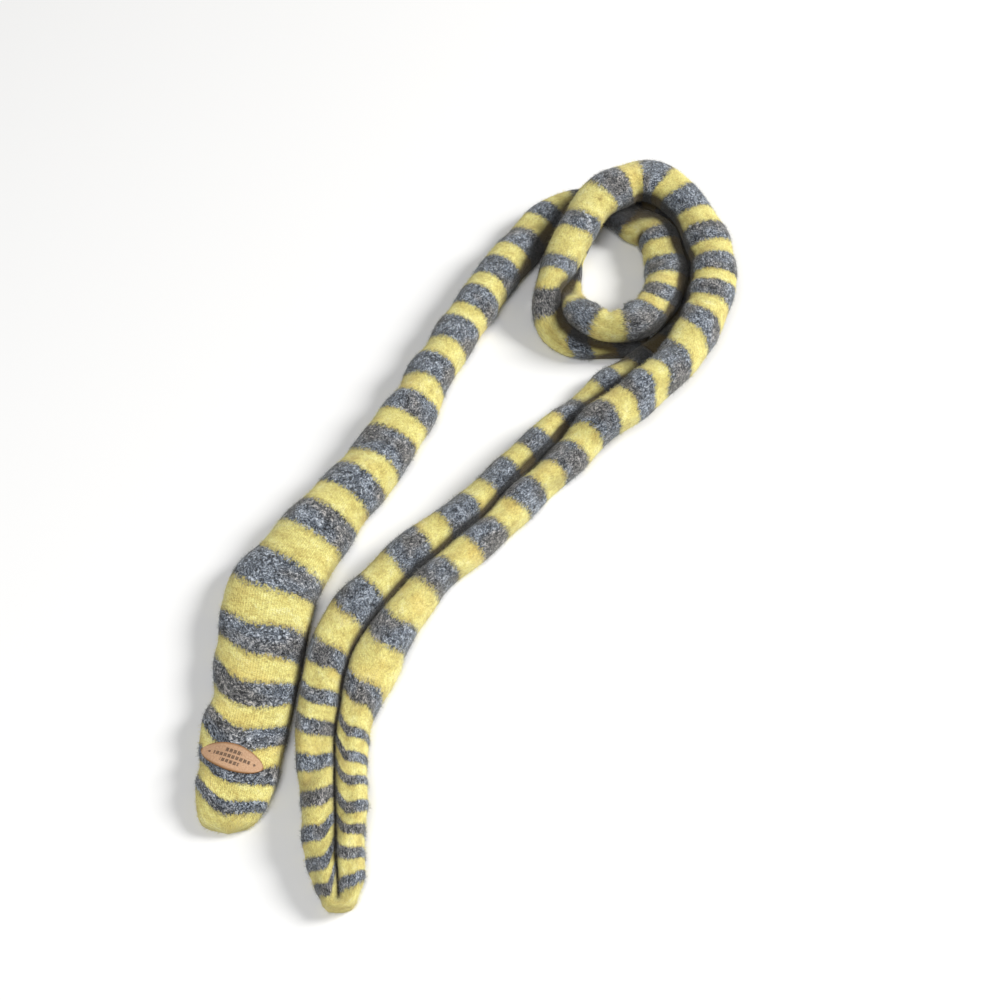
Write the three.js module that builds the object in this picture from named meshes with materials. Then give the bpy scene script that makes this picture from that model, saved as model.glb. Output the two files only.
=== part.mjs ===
// A tubular knitted scarf laid flat on a surface: one long hollow tube that starts at a wide,
// closed end, runs to a two-turn coil, comes back, folds at a tip and returns to the coil.
// Millimetres, +Z up. The underside rests on z = 0.
import * as THREE from 'three';

const WALL = 3;              // thickness of the brushed knit
const SEAM = 0.3;            // clearance where two stretches meet
const CREASE_GAP = 0.2;      // clearance kept on each side of the crease of the doubled tail
const SIDES = 14;            // facets round the tube
const STEP_BEND = 20;        // longest facet along the tube in the coil
const STEP_RUN = 30;         // and in the long runs
const CENTRE = { x: -7.3, y: -3.2 };   // plan point that becomes the origin
const LABEL = { x: -181, y: -220, length: 45, width: 19, turn: -20, thick: 1.6, off: 0.6 };

// Each table follows the tube. x, y: middle of the tube in plan; width and height: its section;
// lift: height of its underside above the surface.
const LEFT_RUN = [
  { x: -181.5, y: -268, width: 20, height: 8, lift: 0 },
  { x: -181.5, y: -264, width: 32, height: 11, lift: 0 },
  { x: -181.5, y: -257, width: 41.5, height: 14, lift: 0 },
  { x: -180.5, y: -246, width: 47.5, height: 17, lift: 0 },
  { x: -177.5, y: -224, width: 55.5, height: 19, lift: 0 },
  { x: -176, y: -202, width: 59.5, height: 20, lift: 0 },
  { x: -172.5, y: -180, width: 58.5, height: 21, lift: 0 },
  { x: -170.5, y: -157, width: 60, height: 22, lift: 0 },
  { x: -168.5, y: -134, width: 62, height: 23, lift: 0 },
  { x: -167.5, y: -110, width: 65, height: 24, lift: 0 },
  { x: -163.5, y: -85, width: 66, height: 25, lift: 0 },
  { x: -150.5, y: -62, width: 59, height: 26, lift: 0 },
  { x: -134.5, y: -36, width: 52.5, height: 27, lift: 0 },
  { x: -117.5, y: -9, width: 48, height: 27, lift: 0 },
  { x: -98.5, y: 17.5, width: 46, height: 28, lift: 0 },
  { x: -83, y: 45, width: 41.5, height: 28, lift: 0 },
  { x: -68.5, y: 73, width: 38, height: 28, lift: 0 },
  { x: -56.5, y: 102.5, width: 34.5, height: 28, lift: 0 },
  { x: -42.5, y: 132, width: 33.5, height: 28, lift: 0 },
  { x: -27, y: 162, width: 33, height: 28, lift: 0 },
  { x: -10.5, y: 193, width: 33.5, height: 28, lift: 0 },
  { x: 3.5, y: 217, width: 34, height: 28, lift: 0 },
  { x: 17.5, y: 239.5, width: 33.5, height: 25.5, lift: 0 },
  { x: 32.5, y: 262, width: 32, height: 18, lift: 4 },
  { x: 49, y: 280, width: 31, height: 11, lift: 9.6 },
  { x: 67, y: 285, width: 30, height: 11, lift: 9.6 },
];
const INNER_TURN = [
  { x: 85, y: 281, width: 29, height: 11, lift: 9.6 },
  { x: 100, y: 274.5, width: 30, height: 12.5, lift: 8 },
  { x: 112.5, y: 266.5, width: 33, height: 20, lift: 0.5 },
  { x: 128, y: 255.5, width: 32, height: 25, lift: 0 },
  { x: 134, y: 230, width: 34, height: 26, lift: 0 },
  { x: 134.5, y: 204, width: 34, height: 26, lift: 2 },
  { x: 125.5, y: 173.5, width: 32, height: 24, lift: 9.5 },
  { x: 108.5, y: 152.5, width: 30, height: 22, lift: 14.5 },
  { x: 85, y: 147.5, width: 25.5, height: 22, lift: 14.5 },
  { x: 69, y: 158, width: 23, height: 22, lift: 13.5 },
  { x: 60, y: 176.5, width: 20.5, height: 20, lift: 5 },
  { x: 56.5, y: 193, width: 21, height: 13, lift: 0 },
];
const UNDER_TURN = [
  { x: 54, y: 210, width: 24, height: 12, lift: 0 },
  { x: 57, y: 233, width: 24, height: 12, lift: 0 },
  { x: 66, y: 257, width: 24, height: 9.2, lift: 0 },
  { x: 81, y: 283, width: 24, height: 9.2, lift: 0 },
  { x: 101.5, y: 301, width: 24, height: 10, lift: 0 },
  { x: 122, y: 303, width: 26, height: 12, lift: 0 },
  { x: 142, y: 293, width: 27, height: 12, lift: 0 },
  { x: 158, y: 268, width: 28, height: 12, lift: 0 },
  { x: 166, y: 240, width: 29, height: 12, lift: 0 },
  { x: 167, y: 212, width: 30, height: 12, lift: 0 },
  { x: 162, y: 187, width: 31, height: 12, lift: 0 },
  { x: 151.5, y: 165, width: 32, height: 12, lift: 0 },
  { x: 138, y: 147, width: 32, height: 12, lift: 0 },
];
const MIDDLE_TOP = [
  { x: 122.5, y: 129.5, width: 30, height: 12, lift: 0 },
  { x: 103, y: 113, width: 31, height: 15, lift: 0 },
  { x: 86, y: 100, width: 28, height: 18, lift: 0 },
  { x: 68.5, y: 85, width: 24, height: 18, lift: 0 },
  { x: 52, y: 68, width: 22.5, height: 21, lift: 0 },
];
// The crease between the two halves of the doubled tail, from its upper end to the fold at the
// tip. left and right: width of the tube on either side; lift: underside of the right one.
const CREASE = [
  { x: 44.5, y: 41, left: 23, right: 27, height: 26, lift: 3 },
  { x: 30, y: 24, left: 23.5, right: 25.5, height: 27, lift: 1 },
  { x: 13, y: 5, left: 24, right: 24, height: 27, lift: 0 },
  { x: -15, y: -29, left: 28.5, right: 22.5, height: 27, lift: 0 },
  { x: -47.5, y: -61.5, left: 29.5, right: 22, height: 27, lift: 0 },
  { x: -63, y: -77, left: 31, right: 25, height: 27, lift: 0 },
  { x: -79, y: -97.5, left: 33, right: 28, height: 27, lift: 0 },
  { x: -93, y: -118, left: 34, right: 32, height: 27, lift: 0 },
  { x: -103, y: -137, left: 31, right: 35.5, height: 27, lift: 0 },
  { x: -108, y: -158, left: 29, right: 33, height: 26, lift: 0 },
  { x: -110.5, y: -184, left: 29, right: 24, height: 25, lift: 0 },
  { x: -112, y: -205, left: 27.5, right: 22, height: 25, lift: 0 },
  { x: -111.5, y: -226, left: 25, right: 20.5, height: 24, lift: 0 },
  { x: -110, y: -246, left: 23.5, right: 20, height: 24, lift: 0 },
  { x: -109, y: -262, left: 22.5, right: 20, height: 23, lift: 0 },
  { x: -107.5, y: -282, left: 20, right: 19, height: 22, lift: 0 },
  { x: -106, y: -299, left: 17.5, right: 17, height: 19, lift: 0 },
  { x: -105.3, y: -308, left: 15, right: 14.5, height: 16, lift: 0 },
  { x: -105, y: -313.5, left: 12.5, right: 12.5, height: 13, lift: 0 },
];
const TIP = { steps: 6, nose: 8 };      // stations round the fold, width of the tube at its end
const RIGHT_TOP = [
  { x: 74.5, y: 54.5, width: 30, height: 27, lift: 8.5 },
  { x: 90, y: 65.5, width: 31, height: 27, lift: 11 },
  { x: 105, y: 78.5, width: 31.5, height: 27, lift: 12.5 },
  { x: 118, y: 91.5, width: 32, height: 27, lift: 12.5 },
];
const OUTER_TURN = [
  { x: 131, y: 106, width: 32.5, height: 27, lift: 12.5 },
  { x: 141.5, y: 119.5, width: 33, height: 27, lift: 12.5 },
  { x: 156.5, y: 147, width: 35.5, height: 27, lift: 12.5 },
  { x: 166, y: 171, width: 36.5, height: 27, lift: 12.5 },
  { x: 171, y: 195.5, width: 35.5, height: 27, lift: 12.5 },
  { x: 171.5, y: 220, width: 35.5, height: 27, lift: 12.5 },
  { x: 166, y: 245.5, width: 34, height: 27, lift: 12.5 },
  { x: 156.5, y: 270, width: 34, height: 27, lift: 12.5 },
  { x: 138.5, y: 292, width: 34, height: 27, lift: 14 },
  { x: 116.5, y: 297, width: 36, height: 26, lift: 18.3 },
  { x: 93, y: 284.5, width: 35, height: 25, lift: 20.9 },
  { x: 74, y: 265, width: 33, height: 25, lift: 20.9 },
  { x: 60.5, y: 238, width: 30.5, height: 26, lift: 16 },
  { x: 49.5, y: 213, width: 28, height: 26, lift: 13 },
  { x: 39.5, y: 192.5, width: 24, height: 26, lift: 11 },
  { x: 37, y: 177.5, width: 22.5, height: 24, lift: 5 },
  { x: 39.5, y: 166, width: 25, height: 22, lift: 0 },
  { x: 47.5, y: 153.5, width: 27, height: 16, lift: 0 },
  { x: 62, y: 145, width: 28, height: 13.8, lift: 0 },
  { x: 84, y: 143, width: 26, height: 13.8, lift: 0 },
  { x: 97, y: 144.5, width: 23.5, height: 13, lift: 0 },
  { x: 105, y: 147.5, width: 16, height: 10.5, lift: 0 },
  { x: 110.5, y: 149.5, width: 9, height: 8, lift: 0 },
];

const COLUMNS = ['x', 'y', 'width', 'height', 'lift'];

// Points of a table on a smooth curve, no further apart than step.
function smooth(rows, columns, step) {
  const at = (i) => rows[Math.min(Math.max(i, 0), rows.length - 1)];
  const out = [];
  for (let i = 0; i < rows.length - 1; i++) {
    const span = Math.hypot(at(i + 1).x - at(i).x, at(i + 1).y - at(i).y);
    const parts = Math.max(1, Math.round(span / step));
    for (let k = 0; k < parts; k++) {
      const t = k / parts;
      const row = { key: k === 0 ? i : -1 };
      for (const c of columns) {
        const [p, q, r, s] = [at(i - 1)[c], at(i)[c], at(i + 1)[c], at(i + 2)[c]];
        row[c] = q + 0.5 * t * (r - p + t * (2 * p - 5 * q + 4 * r - s + t * (3 * (q - r) + s - p)));
      }
      out.push(row);
    }
  }
  out.push({ ...at(rows.length - 1), key: rows.length - 1 });
  return out;
}

// Gives every station its sideways direction, to the right of the way the tube runs.
function face(rows) {
  rows.forEach((row, i) => {
    if (row.nx !== undefined) return;
    const a = rows[Math.max(i - 1, 0)];
    const b = rows[Math.min(i + 1, rows.length - 1)];
    const len = Math.hypot(b.x - a.x, b.y - a.y);
    row.nx = (b.y - a.y) / len;
    row.ny = -(b.x - a.x) / len;
  });
  return rows;
}

// Both halves of the doubled tail, kept off each other along the crease.
const crease = smooth(CREASE, ['x', 'y', 'left', 'right', 'height', 'lift'], STEP_RUN);
crease.forEach((row, i) => {
  const a = crease[Math.max(i - 1, 0)];
  const b = crease[Math.min(i + 1, crease.length - 1)];
  const len = Math.hypot(b.x - a.x, b.y - a.y);
  row.ax = (b.y - a.y) / len;          // points away from the right half
  row.ay = -(b.x - a.x) / len;
});
const half = (row, side, width, lift) => ({
  x: row.x + side * row.ax * (CREASE_GAP + width / 2),
  y: row.y + side * row.ay * (CREASE_GAP + width / 2),
  nx: side * row.ax,
  ny: side * row.ay,
  width,
  height: row.height,
  lift,
});
const middlePair = crease.map((row) => half(row, 1, row.left, 0));
const rightPair = crease.map((row) => half(row, -1, row.right, row.lift)).reverse();

// The fold at the tip turns half round the lower end of the crease.
const pivot = crease[crease.length - 1];
const startTurn = Math.atan2(pivot.ay, pivot.ax);
const tip = [];
for (let k = 0; k <= TIP.steps; k++) {
  const turn = startTurn + (Math.PI * k) / TIP.steps;
  const [nx, ny] = [Math.cos(turn), Math.sin(turn)];
  const swing = Math.cos((Math.PI * k) / TIP.steps);
  const beside = swing > 0 ? pivot.left : pivot.right;
  const width = TIP.nose + (beside - TIP.nose) * Math.abs(swing);
  const reach = CREASE_GAP + width / 2;
  tip.push({
    x: pivot.x - pivot.ay * SEAM + nx * reach,
    y: pivot.y + pivot.ax * SEAM + ny * reach,
    nx,
    ny,
    width,
    height: pivot.height,
    lift: 0,
  });
}

// One stretch after another; a stretch ends on the station where the next begins.
const first = (rows, n) => rows.slice(0, n);
function chain(before, rows, after, step) {
  const all = smooth([...before, ...rows, ...after], COLUMNS, step);
  face(all);
  const from = all.findIndex((r) => r.key === before.length);
  const to = all.findIndex((r) => r.key === before.length + rows.length - 1);
  return all.slice(from, to + 1);
}
const left = chain([], LEFT_RUN, first(INNER_TURN, 2), STEP_RUN);
const inner = chain(LEFT_RUN.slice(-2), [...INNER_TURN, UNDER_TURN[0]], [UNDER_TURN[1]], STEP_BEND);
const under = chain(INNER_TURN.slice(-2), [...UNDER_TURN, MIDDLE_TOP[0]], [MIDDLE_TOP[1]], STEP_BEND);
const middleTop = chain(UNDER_TURN.slice(-2), MIDDLE_TOP, first(middlePair, 2), STEP_RUN);
const rightTop = chain(rightPair.slice(-2), [...RIGHT_TOP, OUTER_TURN[0]], [OUTER_TURN[1]], STEP_RUN);
const outer = chain(RIGHT_TOP.slice(-2), OUTER_TURN, [], STEP_BEND);

const stretches = {
  left_run: [...left, inner[0]],
  inner_turn: inner,
  under_turn: under,
  middle_run: [...middleTop, ...middlePair],
  tip_fold: tip,
  right_run: [...rightPair, ...rightTop],
  outer_turn: outer,
};

// A soft oval that rests on a flat: u runs across from -1 to 1, v up from 0 to 1.
const SECTION = Array.from({ length: SIDES }, (_, i) => {
  const t = (2 * Math.PI * i) / SIDES;
  const s = Math.sin(t);
  const v = s >= 0 ? 0.5 + 0.5 * s : 0.5 - 0.5 * Math.min(1, 1.06 * Math.abs(s) ** 0.62);
  return { u: Math.cos(t), v };
});

function ring(row, inset) {
  return SECTION.map(({ u, v }) => {
    const across = u * (row.width / 2 - inset);
    return new THREE.Vector3(
      row.x + row.nx * across - CENTRE.x,
      row.y + row.ny * across - CENTRE.y,
      row.lift + inset + v * (row.height - 2 * inset),
    );
  });
}

// Moves the end of a stretch back along the tube by half a seam.
function shorten(rows, index, toward) {
  const a = rows[index];
  const b = rows[toward];
  const part = SEAM / 2 / Math.hypot(b.x - a.x, b.y - a.y);
  const row = { ...a };
  for (const c of [...COLUMNS, 'nx', 'ny']) row[c] += (b[c] - a[c]) * part;
  return row;
}

function tubeGeometry(rows, closedStart, closedEnd) {
  const outside = rows.map((row) => ring(row, 0));
  const lo = closedStart ? 2 : 0;
  const hi = rows.length - (closedEnd ? 2 : 0);
  const inside = rows.slice(lo, hi).map((row) => ring(row, WALL));
  const points = [];
  const add = (loop) => points.push(...loop) - loop.length;
  const out = outside.map(add);
  const inn = inside.map(add);
  const faces = [];
  const quad = (a, b, c, d) => faces.push(a, b, c, a, c, d);
  const strip = (from, to, flip) => {
    for (let i = 0; i < SIDES; i++) {
      const j = (i + 1) % SIDES;
      if (flip) quad(from + i, to + i, to + j, from + j);
      else quad(from + i, from + j, to + j, to + i);
    }
  };
  const fan = (base, loop, flip) => {
    const middle = new THREE.Vector3();
    loop.forEach((p) => middle.addScaledVector(p, 1 / loop.length));
    const c = points.push(middle) - 1;
    for (let i = 0; i < SIDES; i++) {
      const j = (i + 1) % SIDES;
      if (flip) faces.push(c, base + j, base + i);
      else faces.push(c, base + i, base + j);
    }
  };
  for (let k = 0; k + 1 < out.length; k++) strip(out[k], out[k + 1], false);
  for (let k = 0; k + 1 < inn.length; k++) strip(inn[k], inn[k + 1], true);
  const ends = [[closedStart, 0, true], [closedEnd, -1, false]];
  for (const [closed, at, flip] of ends) {
    if (closed) {
      fan(out.at(at), outside.at(at), flip);
      fan(inn.at(at), inside.at(at), !flip);
    } else {
      strip(out.at(at), inn.at(at), flip);
    }
  }
  return build(points, faces);
}

// Turns the facets outward if the volume says they face in.
function build(points, faces) {
  let volume = 0;
  for (let i = 0; i < faces.length; i += 3) {
    const [a, b, c] = [points[faces[i]], points[faces[i + 1]], points[faces[i + 2]]];
    volume += a.dot(new THREE.Vector3().crossVectors(b, c));
  }
  const index = volume < 0 ? faces.slice().reverse() : faces;
  const geometry = new THREE.BufferGeometry();
  const positions = points.flatMap((p) => p.toArray());
  geometry.setAttribute('position', new THREE.Float32BufferAttribute(positions, 3));
  geometry.setIndex(index);
  geometry.computeVertexNormals();
  return geometry;
}

const group = new THREE.Group();
group.name = 'knit_scarf';
function addPart(name, geometry, colour, roughness) {
  const material = new THREE.MeshStandardMaterial({ color: colour, roughness, metalness: 0 });
  const mesh = new THREE.Mesh(geometry, material);
  mesh.name = name;
  group.add(mesh);
}
const YELLOW = 0xd3cc7c;
const GREY = 0x808992;
const YARN = {
  left_run: YELLOW,
  inner_turn: GREY,
  under_turn: GREY,
  middle_run: GREY,
  tip_fold: YELLOW,
  right_run: YELLOW,
  outer_turn: YELLOW,
};

// Neighbouring stretches end half a seam apart. The fold at the tip already stands clear.
const READY_START = ['left_run', 'tip_fold', 'right_run'];
const READY_END = ['middle_run', 'tip_fold', 'outer_turn'];
for (const [name, rows] of Object.entries(stretches)) {
  const cut = rows.slice();
  const last = rows.length - 1;
  if (!READY_START.includes(name)) cut[0] = shorten(rows, 0, 1);
  if (!READY_END.includes(name)) cut[last] = shorten(rows, last, last - 1);
  const geometry = tubeGeometry(cut, name === 'left_run', name === 'outer_turn');
  addPart(name, geometry, YARN[name], 0.95);
}

// The label lies on the wide end: its points are points of that tube, moved up.
function topOf(rows, x, y) {
  for (let k = 0; k + 1 < rows.length; k++) {
    const [a, b] = [rows[k], rows[k + 1]];
    const side = (r) => -(x - r.x) * r.ny + (y - r.y) * r.nx;
    const [da, db] = [side(a), side(b)];
    if (da * db > 0 || da === db) continue;
    const t = da / (da - db);
    const mix = (c) => a[c] + (b[c] - a[c]) * t;
    const len = Math.hypot(mix('nx'), mix('ny'));
    const u = ((x - mix('x')) * mix('nx') + (y - mix('y')) * mix('ny')) / len / (mix('width') / 2);
    const upper = SECTION.filter((p) => p.v >= 0.5).sort((p, q) => p.u - q.u);
    const i = Math.max(1, upper.findIndex((p) => p.u >= u));
    const part = (u - upper[i - 1].u) / (upper[i].u - upper[i - 1].u);
    return mix('lift') + mix('height') * (upper[i - 1].v + (upper[i].v - upper[i - 1].v) * part);
  }
  throw new Error('the label is off the tube');
}

function labelGeometry() {
  const [along, across] = [14, 6];
  const turn = THREE.MathUtils.degToRad(LABEL.turn);
  const [cos, sin] = [Math.cos(turn), Math.sin(turn)];
  const points = [];
  for (const side of [0, 1]) {
    for (let i = 0; i <= along; i++) {
      const s = -Math.cos((Math.PI * i) / along);
      const reach = (LABEL.width / 2) * Math.max(0.1, (1 - s * s) ** 0.62);
      for (let j = 0; j <= across; j++) {
        const [p, q] = [(s * LABEL.length) / 2, reach * (-1 + (2 * j) / across)];
        const x = LABEL.x + p * cos - q * sin;
        const y = LABEL.y + p * sin + q * cos;
        const z = topOf(left, x, y) + LABEL.off + side * LABEL.thick;
        points.push(new THREE.Vector3(x - CENTRE.x, y - CENTRE.y, z));
      }
    }
  }
  const w = across + 1;
  const layer = w * (along + 1);
  const faces = [];
  const quad = (a, b, c, d) => faces.push(a, b, c, a, c, d);
  for (let i = 0; i < along; i++) {
    for (let j = 0; j < across; j++) {
      const a = i * w + j;
      quad(a, a + 1, a + w + 1, a + w);
      quad(layer + a, layer + a + w, layer + a + w + 1, layer + a + 1);
    }
    quad(i * w, i * w + w, layer + i * w + w, layer + i * w);
    quad(i * w + across, layer + i * w + across, layer + i * w + w + across, i * w + w + across);
  }
  for (let j = 0; j < across; j++) {
    quad(j, layer + j, layer + j + 1, j + 1);
    const e = along * w + j;
    quad(e, e + 1, layer + e + 1, layer + e);
  }
  return build(points, faces);
}
addPart('label', labelGeometry(), 0xd3ae81, 0.6);

export default group;
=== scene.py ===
import math

import bmesh
import bpy
import numpy as np
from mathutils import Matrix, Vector
from mathutils.bvhtree import BVHTree


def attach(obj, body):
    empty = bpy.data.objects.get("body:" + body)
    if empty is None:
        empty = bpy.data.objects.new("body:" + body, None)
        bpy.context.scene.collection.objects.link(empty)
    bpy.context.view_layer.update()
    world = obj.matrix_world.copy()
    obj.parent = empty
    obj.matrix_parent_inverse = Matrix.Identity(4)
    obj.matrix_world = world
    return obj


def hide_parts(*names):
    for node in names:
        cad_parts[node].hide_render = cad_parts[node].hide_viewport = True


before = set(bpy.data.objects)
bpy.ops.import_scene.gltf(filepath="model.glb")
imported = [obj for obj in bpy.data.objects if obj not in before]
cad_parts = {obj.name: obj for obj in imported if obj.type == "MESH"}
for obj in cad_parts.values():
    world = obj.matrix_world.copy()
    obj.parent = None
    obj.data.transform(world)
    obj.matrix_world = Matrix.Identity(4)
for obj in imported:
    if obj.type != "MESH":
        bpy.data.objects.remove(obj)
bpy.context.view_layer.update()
scene = bpy.context.scene

# The tables below are in millimetres. A point becomes metres where it is written to a mesh.
CENTRE = (-7.3, -3.2)      # plan point of the route that is the frame's origin
CREASE_GAP = 0.2           # clearance each side of the doubled tail's crease
TIP = {"nose": 8.0, "seam": 0.3}        # width of the tube at the tip, gap before the fold
WALL = 2.6                 # thickness of the knit
END_ROUND = 6.0            # length over which a closed end draws in
END_RISE = 0.4             # share of the height at which a closed end comes together
ROUND = 0.096              # metres round the tube in stitches, 50 wales
BELOW = math.radians(270)  # where round the tube its grids begin and end, on the underside

# The camera stands where the photograph was taken.
CAMERA = {"distance": 1.3, "elevation": 57.0, "lens": 62.1, "aim": (0.0073, 0.0032, 0.0)}
camera = bpy.data.objects.new("camera", bpy.data.cameras.new("camera"))
scene.collection.objects.link(camera)
scene.camera = camera
camera.data.sensor_width = 36.0
camera.data.lens = CAMERA["lens"]
rise = math.radians(CAMERA["elevation"])
back = Vector((0.0, -math.cos(rise), math.sin(rise)))
camera.location = Vector(CAMERA["aim"]) + back * CAMERA["distance"]
camera.rotation_euler = (-back).to_track_quat("-Z", "Y").to_euler()
camera.data.clip_end = 50.0

# The route of the tube, one table for each stretch.
# columns: x, y, width, height, lift of the underside
LEFT_RUN = [
    (-181.5, -268, 20, 8, 0), (-181.5, -264, 32, 11, 0), (-181.5, -257, 41.5, 14, 0),
    (-180.5, -246, 47.5, 17, 0), (-177.5, -224, 55.5, 19, 0), (-176, -202, 59.5, 20, 0),
    (-172.5, -180, 58.5, 21, 0), (-170.5, -157, 60, 22, 0), (-168.5, -134, 62, 23, 0),
    (-167.5, -110, 65, 24, 0), (-163.5, -85, 66, 25, 0), (-150.5, -62, 59, 26, 0),
    (-134.5, -36, 52.5, 27, 0), (-117.5, -9, 48, 27, 0), (-98.5, 17.5, 46, 28, 0),
    (-83, 45, 41.5, 28, 0), (-68.5, 73, 38, 28, 0), (-56.5, 102.5, 34.5, 28, 0),
    (-42.5, 132, 33.5, 28, 0), (-27, 162, 33, 28, 0), (-10.5, 193, 33.5, 28, 0),
    (3.5, 217, 34, 28, 0), (17.5, 239.5, 33.5, 25.5, 0), (32.5, 262, 32, 18, 4),
    (49, 280, 31, 11, 9.6), (67, 285, 30, 11, 9.6),
]
INNER_TURN = [
    (85, 281, 29, 11, 9.6), (100, 274.5, 30, 12.5, 8), (112.5, 266.5, 33, 20, 0.5),
    (128, 255.5, 32, 25, 0), (134, 230, 34, 26, 0), (134.5, 204, 34, 26, 2),
    (125.5, 173.5, 32, 24, 9.5), (108.5, 152.5, 30, 22, 14.5), (85, 147.5, 25.5, 22, 14.5),
    (69, 158, 23, 22, 13.5), (60, 176.5, 20.5, 20, 5), (56.5, 193, 21, 13, 0),
]
UNDER_TURN = [
    (54, 210, 24, 12, 0), (57, 233, 24, 12, 0), (66, 257, 24, 9.2, 0), (81, 283, 24, 9.2, 0),
    (101.5, 301, 24, 10, 0), (122, 303, 26, 12, 0), (142, 293, 27, 12, 0), (158, 268, 28, 12, 0),
    (166, 240, 29, 12, 0), (167, 212, 30, 12, 0), (162, 187, 31, 12, 0), (151.5, 165, 32, 12, 0),
    (138, 147, 32, 12, 0),
]
MIDDLE_TOP = [
    (122.5, 129.5, 30, 12, 0), (103, 113, 31, 15, 0), (86, 100, 28, 18, 0), (68.5, 85, 24, 18, 0),
    (52, 68, 22.5, 21, 0),
]
# columns: x, y of the crease, width of the tube left and right of it, height, lift on the right
CREASE = [
    (44.5, 41, 23, 27, 26, 3), (30, 24, 23.5, 25.5, 27, 1), (13, 5, 24, 24, 27, 0),
    (-15, -29, 28.5, 22.5, 27, 0), (-47.5, -61.5, 29.5, 22, 27, 0), (-63, -77, 31, 25, 27, 0),
    (-79, -97.5, 33, 28, 27, 0), (-93, -118, 34, 32, 27, 0), (-103, -137, 31, 35.5, 27, 0),
    (-108, -158, 29, 33, 26, 0), (-110.5, -184, 29, 24, 25, 0), (-112, -205, 27.5, 22, 25, 0),
    (-111.5, -226, 25, 20.5, 24, 0), (-110, -246, 23.5, 20, 24, 0), (-109, -262, 22.5, 20, 23, 0),
    (-107.5, -282, 20, 19, 22, 0), (-106, -299, 17.5, 17, 19, 0), (-105.3, -308, 15, 14.5, 16, 0),
    (-105, -313.5, 12.5, 12.5, 13, 0),
]
RIGHT_TOP = [
    (74.5, 54.5, 30, 27, 8.5), (90, 65.5, 31, 27, 11), (105, 78.5, 31.5, 27, 12.5),
    (118, 91.5, 32, 27, 12.5),
]
OUTER_TURN = [
    (131, 106, 32.5, 27, 12.5), (141.5, 119.5, 33, 27, 12.5), (156.5, 147, 35.5, 27, 12.5),
    (166, 171, 36.5, 27, 12.5), (171, 195.5, 35.5, 27, 12.5), (171.5, 220, 35.5, 27, 12.5),
    (166, 245.5, 34, 27, 12.5), (156.5, 270, 34, 27, 12.5), (138.5, 292, 34, 27, 14),
    (116.5, 297, 36, 26, 18.3), (93, 284.5, 35, 25, 20.9), (74, 265, 33, 25, 20.9),
    (60.5, 238, 30.5, 26, 16), (49.5, 213, 28, 26, 13), (39.5, 192.5, 24, 26, 11),
    (37, 177.5, 22.5, 24, 5), (39.5, 166, 25, 22, 0), (47.5, 153.5, 27, 16, 0),
    (62, 145, 28, 13.8, 0), (84, 143, 26, 13.8, 0), (97, 144.5, 23.5, 13, 0),
    (105, 148, 18.5, 11.5, 0), (112, 152.5, 13.5, 10.5, 0), (118.5, 159, 11.5, 9, 0),
]

# The dark stripes, as they lie on the crown of the tube. columns: mm along, width
FIRST_STRIPES = [
    (14.5, 8), (36, 10), (62, 17), (95.5, 18), (137.5, 24), (192.5, 28), (246, 23), (287, 21),
    (327.5, 26), (368.5, 20), (407.5, 22), (448.5, 24), (484.5, 20), (519, 21), (557.5, 24),
    (597, 16), (630.5, 14), (663.5, 22), (706, 13), (741.5, 20), (776, 15), (807.5, 28),
    (855, 26),
]
# Evenly spread under the coil, from this far past the last stripe seen before it.
UNSEEN = {"stripes": 10, "width": 18, "past": 20}
LAST_STRIPES = [
    (1287, 18), (1331, 24), (1373.5, 20), (1412.5, 26), (1457.5, 28), (1506.5, 30), (1561, 29),
    (1612.5, 16), (1643, 11), (1666, 11), (1691.5, 11), (1718, 11), (1741, 10), (1761.5, 9),
    (1778, 7), (1808, 7.5), (1825, 7), (1840.5, 6), (1855.5, 8), (1875.5, 6.5), (1892.5, 7),
    (1910, 6.5), (1940.5, 16), (1991, 22), (2050.5, 24), (2098.5, 25), (2144.5, 23), (2188.5, 24),
    (2230, 23), (2270.5, 21), (2308, 25), (2352, 19), (2385, 16), (2413, 19), (2445.5, 19),
    (2483.5, 24), (2522.5, 20.5), (2561, 24), (2612, 15), (2656, 14), (2690, 18), (2727.5, 16),
    (2764, 20),
]
# The yellow beyond the first and last stripe: its length, and how far the count goes on over it.
PLAIN_END = {"length": 20, "count": 0.45}
# How far the courses are drawn along the tube at its sides, from where they lie on the crown.
# columns: mm along, mm at the left side, mm at the right side
DRAWN = np.array([
    (0, 16, 4), (36, 18, 4), (62, 20, 10), (95, 19, 7), (137, 24, -7), (192, 4, -1), (246, -2, -2),
    (600, -4, -3), (900, 0, 0), (1300, 0, 0), (1373, 0, 0), (1457, 7, 0), (1506, 4, -4),
    (1561, 4, -7), (1612, 4, -8), (1643, 0, -9), (1666, 0, -7), (1692, -4, -3), (1718, -10, -3),
    (1741, -16, 0),
    (1761, -18, -2), (1778, -20, -3), (1793, 0, 0), (1808, -4, 6), (1825, 4, 3), (1840, 10, 2),
    (1855, 12, 5), (1875, 16, 2), (1893, 16, 0), (1910, 18, 0), (1940, 14, -8), (1990, 10, 7),
    (2050, -6, 1), (2144, -5, 3), (2188, -5, 0), (2229, -11, 0), (2270, 0, -9), (2309, 3, -10),
    (2352, 11, -7), (2384, 0, 0), (2446, 0, 0), (2484, 4, 0), (2523, 7, 0), (2561, 0, 0),
    (2611, -4, 0), (2655, -4, 0), (2690, -10, -6), (2726, 0, 8), (2776, 0, 0),
], float).T
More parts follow.
